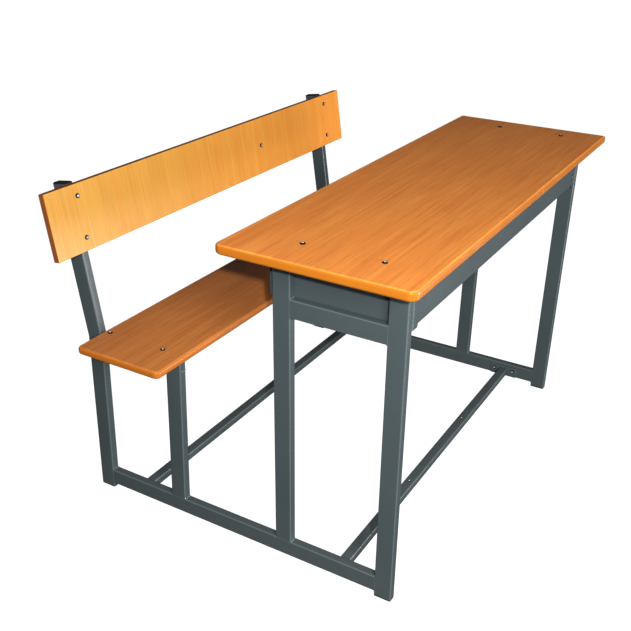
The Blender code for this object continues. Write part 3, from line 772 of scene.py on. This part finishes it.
def stand(name, mesh, places, axes, tree, seed, *nodes):
    """Stand a bolt or screw on each place, along that place's axis."""
    points = bpy.data.meshes.new(name)
    points.from_pydata(places, [], [])
    attribute = points.attributes.new("axis", "FLOAT_VECTOR", "POINT")
    for item, axis in zip(attribute.data, axes):
        item.vector = axis
    source = bpy.data.objects.new(name + "_source", mesh)
    steel = bright_steel()
    result = run_tree(name, points, tree, {"Bolt": source, "Size": 1.0, "Seed": seed, "Finish": steel})
    bpy.data.objects.remove(source, do_unlink=True)
    finished_piece(name, result, steel, "bolt_steel", *nodes)


SCREW_XS = (-0.167, 0.167)
SCREW_RADIUS = 0.0036
SCREW_HEIGHT = 0.0019
SCREW_SINK = 0.0004
SCREW_MOUTH_SHARE = 0.42
SCREW_FLOOR_SHARE = 0.35
SCREW_CROWN_SHARE = 0.60
SCREW_SEED = 20


def screw_mesh(name):
    """A pan-head screw with a hexagon socket, its underside just sunk in the paint."""
    mouth = SCREW_RADIUS * SCREW_MOUTH_SHARE
    rings = [ring(hexagon(mouth), SCREW_HEIGHT * SCREW_FLOOR_SHARE), ring(hexagon(mouth), SCREW_HEIGHT)]
    rings += crown_rings(SCREW_RADIUS * SCREW_CROWN_SHARE, SCREW_RADIUS, SCREW_HEIGHT, 0.0)
    rings.append(ring(circle(SCREW_RADIUS), -SCREW_SINK))
    mesh = loft(name, rings)
    mark_shaded_rim(mesh, mouth + MERGE_DISTANCE)
    return smooth_mesh(mesh)


# Welds

BEAD_RADIUS = 0.0019
BEAD_SPACING = 0.0016
SEAM_RADIUS = 0.0013
SEAM_SHIFT = 0.0006

# How far above its lowest point a leg's end face still counts
END_REACH = 0.0001


def line_mesh(name, lines):
    mesh = bpy.data.meshes.new(name)
    points = [point for line in lines for point in line]
    mesh.from_pydata(points, [(i, i + 1) for i in range(0, len(points), 2)], [])
    return mesh


def leg_faces(side, leg, height):
    """Places (y, z) of a leaning leg's front and rear faces at a height, the rear post's front face only."""
    points = [vertex.co for vertex in frame["nodes"][f"{side}_{leg}"].data.vertices]
    floor = min(point.z for point in points)
    foot = [point.y for point in points if point.z < floor + END_REACH]
    shift = math.tan(LEG_LEAN) * (height - floor)
    faces = [(y - shift, height) for y in (min(foot), max(foot))]
    return faces[:1] if leg == "rear_post" else faces


def weld_lines(side):
    """In the corners between an end frame's tubes, the lines across them."""
    box = {tube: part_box(f"{side}_{tube}") for tube in TUBES}
    rail, cross, desk, seat = (box[name] for name in ("bottom_rail", "cross_rail", "desk_rail", "seat_rail"))
    front, mid = box["front_leg"], box["mid_leg"]
    top, under = rail[1].z, seat[0].z
    places = [(front[1].y, top), (front[1].y, rail[0].z), (mid[0].y, top), (mid[1].y, top)]
    for level in (cross[0].z, cross[1].z, desk[0].z):
        places += [(front[1].y, level), (mid[0].y, level)]
    for leg in ("seat_leg", "rear_post"):
        places += leg_faces(side, leg, top) + leg_faces(side, leg, under)
    places += leg_faces(side, "rear_post", rail[0].z)
    x_low, x_high = front[0].x + TUBE_CORNER, front[1].x - TUBE_CORNER
    return [((x_low, y, z), (x_high, y, z)) for y, z in places]


def seam_lines(side):
    """On both broad faces of an end frame, the grooves where its tubes butt."""
    box = {tube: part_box(f"{side}_{tube}") for tube in TUBES}
    front, mid, top = box["front_leg"][1].y, box["mid_leg"][0].y, box["bottom_rail"][1].z
    under = box["seat_rail"][0].z
    flat = []
    for rail, ends in (("bottom_rail", (front,)), ("cross_rail", (front, mid)), ("desk_rail", (front, mid))):
        low, high = box[rail][0].z + SEAM_RADIUS, box[rail][1].z - SEAM_RADIUS
        for y in ends:
            y += SEAM_SHIFT if y == mid else -SEAM_SHIFT
            flat.append(((y, low), (y, high)))
    for rail in ("bottom_rail", "seat_rail"):
        heights = box[rail][0].z + SEAM_RADIUS, box[rail][1].z - SEAM_RADIUS
        flat.append([(leg_faces(side, "rear_post", z)[0][0] + SEAM_SHIFT, z) for z in heights])
    mid_feet = [corner.y for corner in box["mid_leg"]]
    seat_feet = [y for y, z in leg_faces(side, "seat_leg", top)]
    seat_tops = [y for y, z in leg_faces(side, "seat_leg", under)]
    ends = (mid_feet, top - SEAM_SHIFT), (seat_feet, top - SEAM_SHIFT), (seat_tops, under + SEAM_SHIFT)
    for (low, high), z in ends:
        flat.append(((low + SEAM_RADIUS, z), (high - SEAM_RADIUS, z)))
    x_low, x_high = box["front_leg"][0].x + SEAM_RADIUS, box["front_leg"][1].x - SEAM_RADIUS
    return [[(x, *point) for point in line] for line in flat for x in (x_low, x_high)]


# Settings


class BoardSettings(bpy.types.PropertyGroup):
    corner: bpy.props.FloatProperty(
        name="Corner radius", description="Radius of the left end's corners", default=0.018, unit="LENGTH"
    )
    far_corner: bpy.props.FloatProperty(
        name="Far corner radius", description="Radius of the right end's corners", default=0.004,
        unit="LENGTH",
    )
    edge: bpy.props.FloatProperty(
        name="Edge radius", description="Radius of the rounded edges", default=0.006, unit="LENGTH"
    )
    light: bpy.props.FloatVectorProperty(
        name="Light wood", description="Colour of the pale wood", size=3, default=(0.64, 0.230, 0.045),
        subtype="COLOR",
    )
    dark: bpy.props.FloatVectorProperty(
        name="Dark wood", description="Colour of the dark grain", size=3, default=(0.46, 0.136, 0.023),
        subtype="COLOR",
    )
    red: bpy.props.FloatVectorProperty(
        name="Red wood", description="Colour of the reddish streaks", size=3, default=(0.62, 0.176, 0.029),
        subtype="COLOR",
    )
    banding: bpy.props.FloatVectorProperty(
        name="Banding", description="Colour of the edges", size=3, default=(0.30, 0.090, 0.006),
        subtype="COLOR",
    )
    # Painted light: gain of the colour at the far end
    painted_light_gain: bpy.props.FloatVectorProperty(
        name="Drift", description="Gain of the colour at the far end", size=3, default=(1.0, 1.0, 1.0)
    )
    roughness: bpy.props.FloatProperty(
        name="Roughness", description="Roughness of the laminate", default=0.38
    )
    waviness: bpy.props.FloatProperty(name="Waviness", description="How far broad bands wander", default=1.0)
    broad_scale: bpy.props.FloatProperty(
        name="Broad scale", description="Fineness of broad bands", default=24.0
    )
    streak_scale: bpy.props.FloatProperty(
        name="Streak scale", description="Fineness of streaks", default=150.0
    )
    fibre_scale: bpy.props.FloatProperty(
        name="Fibre scale", description="Fineness of the fibres", default=420.0
    )
    pore_scale: bpy.props.FloatProperty(name="Pore scale", description="Fineness of the pores", default=230.0)
    red_scale: bpy.props.FloatProperty(
        name="Red scale", description="Fineness of the red streaks", default=95.0
    )
    broad_share: bpy.props.FloatProperty(
        name="Broad share", description="Strength of the bands", default=0.30
    )
    streak_share: bpy.props.FloatProperty(
        name="Streak share", description="Strength of the streaks", default=0.50
    )
    fibre_share: bpy.props.FloatProperty(
        name="Fibre share", description="Strength of the fibres", default=0.20
    )
    pore_depth: bpy.props.FloatProperty(name="Pore depth", description="Darkness of the pores", default=0.35)
    red_share: bpy.props.FloatProperty(
        name="Red share", description="Strength of the red streaks", default=0.5
    )
    band_from: bpy.props.FloatProperty(
        name="Banding end", description="Flatness, 1 on a face, up to which the banding is full", default=0.55
    )
    band_to: bpy.props.FloatProperty(
        name="Face start", description="Flatness, 1 on a face, from which there is no banding", default=0.90
    )


# Where a board's settings differ from the defaults, which are the desktop's
BOARD_CHANGES = {
    "seat": {
        "corner": 0.013,
        "far_corner": 0.013,
        "edge": 0.0065,
        "light": (0.400, 0.146, 0.036),
        "dark": (0.285, 0.087, 0.019),
        "red": (0.363, 0.107, 0.023),
        "banding": (0.29, 0.080, 0.006),
        "waviness": 0.778,
    },
    "backboard": {
        "corner": 0.002,
        "far_corner": 0.002,
        "edge": 0.0012,
        "light": (0.445, 0.230, 0.037),
        "dark": (0.375, 0.168, 0.025),
        "red": (0.42, 0.160, 0.022),
        "banding": (0.165, 0.045, 0.012),
        # Painted light: the backboard is lightened towards its far end
        "painted_light_gain": (1.42, 1.10, 0.98),
        "waviness": 0.556,
    },
}


class FrameSettings(bpy.types.PropertyGroup):
    colour: bpy.props.FloatVectorProperty(
        name="Paint", description="Colour of the powder coat", size=3, default=(0.034, 0.044, 0.047),
        subtype="COLOR",
    )
    roughness: bpy.props.FloatProperty(
        name="Roughness", description="Roughness of the powder coat", default=0.36
    )
    # Painted highlight: how far the paint is lightened on corners, as if the rounded corners caught the light
    corner_highlight: bpy.props.FloatProperty(
        name="Thin edges", description="How far the paint lightens where it thins over corners", default=0.30
    )
    weld_roughness: bpy.props.FloatProperty(
        name="Weld roughness", description="Roughness of the paint over the welds", default=0.16
    )
    plastic: bpy.props.FloatVectorProperty(
        name="Plastic", description="Colour of feet and caps", size=3, default=(0.007, 0.007, 0.008),
        subtype="COLOR",
    )
    plastic_roughness: bpy.props.FloatProperty(
        name="Plastic roughness", description="Roughness of feet and caps", default=0.42
    )
    steel: bpy.props.FloatVectorProperty(
        name="Steel", description="Colour of the bolts", size=3, default=(0.95, 0.95, 0.93), subtype="COLOR"
    )
    steel_roughness: bpy.props.FloatProperty(
        name="Steel roughness", description="Roughness of the bolts", default=0.22
    )


class StageSettings(bpy.types.PropertyGroup):
    flash: bpy.props.FloatProperty(name="Flash", description="Power of the flash by the camera", default=13.0)
    low_softbox: bpy.props.FloatProperty(
        name="Low softbox", description="Power of the low light", default=80.0
    )
    key_light: bpy.props.FloatProperty(
        name="Key light", description="Power of the small left light", default=126.0
    )
    near_softbox: bpy.props.FloatProperty(
        name="Near softbox", description="Power of the near light", default=80.0
    )
    air: bpy.props.FloatProperty(name="Ambient", description="Strength of the light all round", default=0.06)
    floor_glow: bpy.props.FloatProperty(
        name="Floor glow", description="Light given by the pale floor", default=1.0
    )
    camera_place: bpy.props.FloatVectorProperty(
        name="Camera", description="Place of the camera", size=3, default=(-1.8044, -0.9659, 1.3549),
        unit="LENGTH",
    )
    camera_turn: bpy.props.FloatVectorProperty(
        name="Camera turn", description="Rotation of the camera", size=3,
        default=tuple(math.radians(angle) for angle in (62.2285, -1.0114, -60.0383)), subtype="EULER",
    )
    lens: bpy.props.FloatProperty(name="Lens", description="Focal length in millimetres", default=50.233)
    shift: bpy.props.FloatVectorProperty(
        name="Shift", description="Shift of the lens", size=2, default=(-0.0242, 0.0410)
    )


class DeskSettings(bpy.types.PropertyGroup):
    desktop: bpy.props.PointerProperty(type=BoardSettings, name="Desktop", description="The desktop board")
    seat: bpy.props.PointerProperty(type=BoardSettings, name="Seat", description="The seat board")
    backboard: bpy.props.PointerProperty(type=BoardSettings, name="Backboard", description="The backboard")
    frame: bpy.props.PointerProperty(type=FrameSettings, name="Frame", description="Frame, feet and bolts")
    stage: bpy.props.PointerProperty(type=StageSettings, name="Stage", description="Floor, lights and camera")


# Operators


class MakeDesktop(bpy.types.Operator):
    """Make the desktop board"""

    bl_idname = "school_desk.desktop"
    bl_label = "Desktop"

    def execute(self, context):
        wood = settings().desktop
        finish = wood_finish("desktop_laminate", wood, X, Y, Z)
        finished_piece("desktop_board", level_board("desktop", wood), finish, "desk_wood", "desktop")
        return {"FINISHED"}


class MakeSeat(bpy.types.Operator):
    """Make the seat board"""

    bl_idname = "school_desk.seat"
    bl_label = "Seat"

    def execute(self, context):
        wood = settings().seat
        finish = wood_finish("seat_laminate", wood, X, Y, Z)
        finished_piece("seat_board", level_board("seat", wood), finish, "seat_wood", "seat")
        return {"FINISHED"}


class MakeBackboard(bpy.types.Operator):
    """Make the leaning backboard, whose grain runs up it"""

    bl_idname = "school_desk.backboard"
    bl_label = "Backboard"

    def execute(self, context):
        wood = settings().backboard
        finish = wood_finish("backboard_laminate", wood, Z, X, Y)
        finished_piece("backboard_board", leaning_board("backboard", wood), finish, "back_wood", "backboard")
        return {"FINISHED"}


class MakeEndFrames(bpy.types.Operator):
    """Make the painted tubes, rails, stretchers and end plates"""

    bl_idname = "school_desk.end_frames"
    bl_label = "End frames"

    def execute(self, context):
        nodes = [f"{side}_{tube}" for side in SIDES for tube in TUBES]
        nodes += ["front_stretcher", "rear_stretcher"]
        nodes += [f"{end}_plate_{side}" for end in ("front", "rear") for side in SIDES]
        painted_copies(nodes)
        return {"FINISHED"}


class MakeBookBox(bpy.types.Operator):
    """Make the folded book box"""

    bl_idname = "school_desk.book_box"
    bl_label = "Book box"

    def execute(self, context):
        painted_copies(("book_tray", "left_book_end", "right_book_end"))
        return {"FINISHED"}


class MakePlugs(bpy.types.Operator):
    """Make the plastic feet and caps"""

    bl_idname = "school_desk.plugs"
    bl_label = "Feet and caps"

    def execute(self, context):
        for node in [f"{side}_{plug}" for side in SIDES for plug in PLUGS]:
            finished_piece(node + "_moulded", refined_copy(node), black_plastic(), "black_plastic", node)
        return {"FINISHED"}


class MakeBolts(bpy.types.Operator):
    """Make the bolts with their nuts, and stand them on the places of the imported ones"""

    bl_idname = "school_desk.bolts"
    bl_label = "Bolts"

    def execute(self, context):
        tree = bolt_tree()
        for seed, (name, nodes) in enumerate(bolt_groups().items()):
            make_bolts(name, nodes, tree, seed)
        return {"FINISHED"}


class MakeScrews(bpy.types.Operator):
    """Make the small screws on top of the front stretcher"""

    bl_idname = "school_desk.screws"
    bl_label = "Screws"

    def execute(self, context):
        low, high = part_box("front_stretcher")
        places = [(x, (low.y + high.y) / 2, high.z) for x in SCREW_XS]
        stand("stretcher_screws", screw_mesh("screw"), places, [UP] * len(places), bolt_tree(), SCREW_SEED)
        return {"FINISHED"}


class MakeWelds(bpy.types.Operator):
    """Make the weld beads in the corners between the tubes, and the flush seams on their sides"""

    bl_idname = "school_desk.welds"
    bl_label = "Welds"

    def execute(self, context):
        tree = weld_tree()
        values = {"Radius": BEAD_RADIUS, "Spacing": BEAD_SPACING, "Finish": weld_paint()}
        for seed, side in enumerate(SIDES):
            name = f"{side}_welds"
            mesh = run_tree(name, line_mesh(name, weld_lines(side)), tree, {**values, "Seed": seed})
            finished_piece(name, mesh, weld_paint(), "frame_paint")
        tree = seam_tree()
        values = {"Radius": SEAM_RADIUS, "Finish": frame_paint()}
        for side in SIDES:
            name = f"{side}_seams"
            mesh = run_tree(name, line_mesh(name, seam_lines(side)), tree, values)
            finished_piece(name, smooth_mesh(mesh), frame_paint(), "frame_paint")
        return {"FINISHED"}


class MakeStage(bpy.types.Operator):
    """Make the floor, the lights and the camera"""

    bl_idname = "school_desk.stage"
    bl_label = "Stage"

    def execute(self, context):
        stage = settings().stage
        make_floor(stage)
        make_lights(stage)
        make_world(stage)
        make_camera(stage)
        return {"FINISHED"}


# Stage

FLOOR_REACH = 40.0
FLOOR_GREY = (0.12, 0.12, 0.12)
FLOOR_ROUGHNESS = 0.9
SENSOR_WIDTH = 36.0
LIGHT_AIM = Vector((0, 0, 0.45))

# Each light's place, its width, and whether it glints. Only the flash and the low light do, so that the
# boards aren't washed out when seen from behind.
LIGHTS = {
    "flash": ((-1.80, -1.00, 1.46), 0.06, True),
    "low_softbox": ((0.90, -2.60, 0.45), 1.20, True),
    "key_light": ((-2.60, -1.60, 1.93), 0.07, False),
    "near_softbox": ((-1.70, -1.70, 1.55), 0.90, False),
}


def make_floor(stage):
    mesh = bpy.data.meshes.new("floor")
    bm = bmesh.new()
    bmesh.ops.create_grid(bm, x_segments=1, y_segments=1, size=FLOOR_REACH)
    bm.to_mesh(mesh)
    bm.free()
    floor = bpy.data.objects.new("floor", mesh)
    bpy.context.scene.collection.objects.link(floor)
    material = Finish("pale_floor").done(
        Base_Color=rgba(FLOOR_GREY), Roughness=FLOOR_ROUGHNESS, Specular_IOR_Level=0.0,
        Emission_Color=rgba(WHITE), Emission_Strength=stage.floor_glow,
    )
    mesh.materials.append(material)
    floor.visible_diffuse = False
    floor.visible_glossy = False


def make_lights(stage):
    """Round lights aimed at the middle of the desk."""
    for name, (place, width, glints) in LIGHTS.items():
        data = bpy.data.lights.new(name, "AREA")
        data.shape = "DISK"
        data.size = width
        data.energy = getattr(stage, name)
        light = bpy.data.objects.new(name, data)
        light.location = place
        light.rotation_euler = (LIGHT_AIM - Vector(place)).to_track_quat("-Z", "Y").to_euler()
        light.visible_glossy = glints
        bpy.context.scene.collection.objects.link(light)


def make_world(stage):
    """A white surround that lights the desk far less than it shows."""
    world = bpy.data.worlds.new("studio")
    world.use_nodes = True
    graph = Graph(world.node_tree)
    background = graph.tree.nodes["Background"]
    seen = graph.node("ShaderNodeLightPath", {}, {}).outputs["Is Camera Ray"]
    strength = graph.node("ShaderNodeMapRange", {}, {"Value": seen, "To Min": stage.air, "To Max": 1.0})
    graph.feed(background.inputs["Color"], rgba(WHITE))
    graph.feed(background.inputs["Strength"], strength.outputs["Result"])
    bpy.context.scene.world = world
    bpy.context.scene.view_settings.view_transform = "Standard"


def make_camera(stage):
    data = bpy.data.cameras.new("camera")
    data.lens = stage.lens
    data.sensor_width = SENSOR_WIDTH
    data.shift_x, data.shift_y = stage.shift
    camera = bpy.data.objects.new("camera", data)
    camera.location = stage.camera_place
    camera.rotation_euler = Euler(stage.camera_turn)
    bpy.context.scene.collection.objects.link(camera)
    bpy.context.scene.camera = camera


# Add-on

OPERATORS = (
    MakeDesktop, MakeSeat, MakeBackboard, MakeEndFrames, MakeBookBox, MakePlugs, MakeBolts, MakeScrews,
    MakeWelds, MakeStage,
)


class DeskPanel(bpy.types.Panel):
    """Buttons that make the desk's pieces"""

    bl_idname = "VIEW3D_PT_school_desk"
    bl_label = "School desk"
    bl_space_type = "VIEW_3D"
    bl_region_type = "UI"
    bl_category = "School desk"

    def draw(self, context):
        for operator in OPERATORS:
            self.layout.operator(operator.bl_idname)


CLASSES = (BoardSettings, FrameSettings, StageSettings, DeskSettings, *OPERATORS, DeskPanel)


def register():
    for item in CLASSES:
        bpy.utils.register_class(item)
    bpy.types.Scene.school_desk = bpy.props.PointerProperty(type=DeskSettings)
    for board, changes in BOARD_CHANGES.items():
        for name, value in changes.items():
            setattr(getattr(settings(), board), name, value)


def unregister():
    del bpy.types.Scene.school_desk
    for item in reversed(CLASSES):
        bpy.utils.unregister_class(item)


def main():
    register()
    for operator in OPERATORS:
        space, name = operator.bl_idname.split(".")
        getattr(getattr(bpy.ops, space), name)()


if __name__ == "__main__":
    main()
